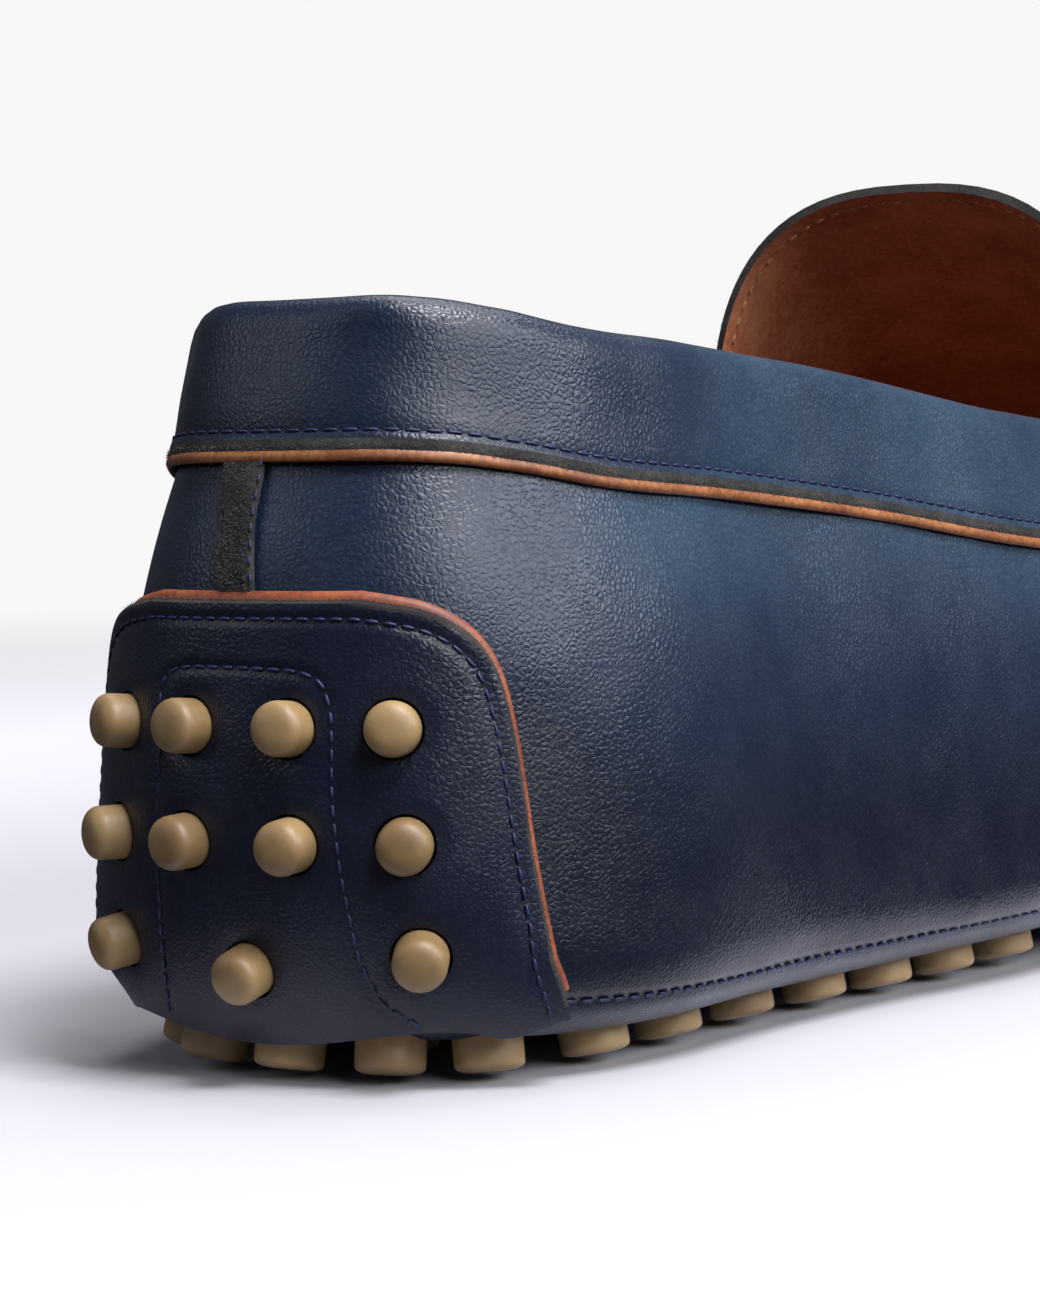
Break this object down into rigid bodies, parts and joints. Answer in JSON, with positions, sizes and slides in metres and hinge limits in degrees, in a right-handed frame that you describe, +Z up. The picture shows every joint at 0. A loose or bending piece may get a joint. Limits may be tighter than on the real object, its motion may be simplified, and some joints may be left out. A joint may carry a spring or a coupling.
{
  "type": "driving moccasin",
  "caption": "Slip-on driving moccasin for the right foot, with a padded collar, a stitched heel patch and round rubber studs standing through its leather bottom and heel.",
  "frame": {"origin": "the floor under the middle stud of the heel, at the centre of that stud's flat end", "axes": "+X to the outer side of the right foot, +Y towards the toe, +Z up"},
  "size_m": [0.0988, 0.2893, 0.0926],
  "materials": {
    "upper_calf": "burnished navy calf, fine pebble grain, satin",
    "patch_calf": "darker burnished navy calf, satin",
    "tan_edge": "undyed tan edge, matte",
    "raw_edge": "raw dark grey edge, matte and slightly fuzzy",
    "gum_rubber": "amber gum, satin and faintly translucent",
    "lining": "reddish brown lining leather, matte"
  },
  "bodies": {
    "root": {"upper": "upper_calf", "apron": "upper_calf", "apron_seam": "upper_calf", "collar_band": "upper_calf", "collar_piping": "tan_edge", "back_seam_strip": "raw_edge", "heel_patch": "patch_calf", "heel_patch_piping": "tan_edge", "heel_pad": "gum_rubber", "sole_leather": "upper_calf", "sole_studs": "gum_rubber", "insole": "lining"}
  },
  "joints": []
}
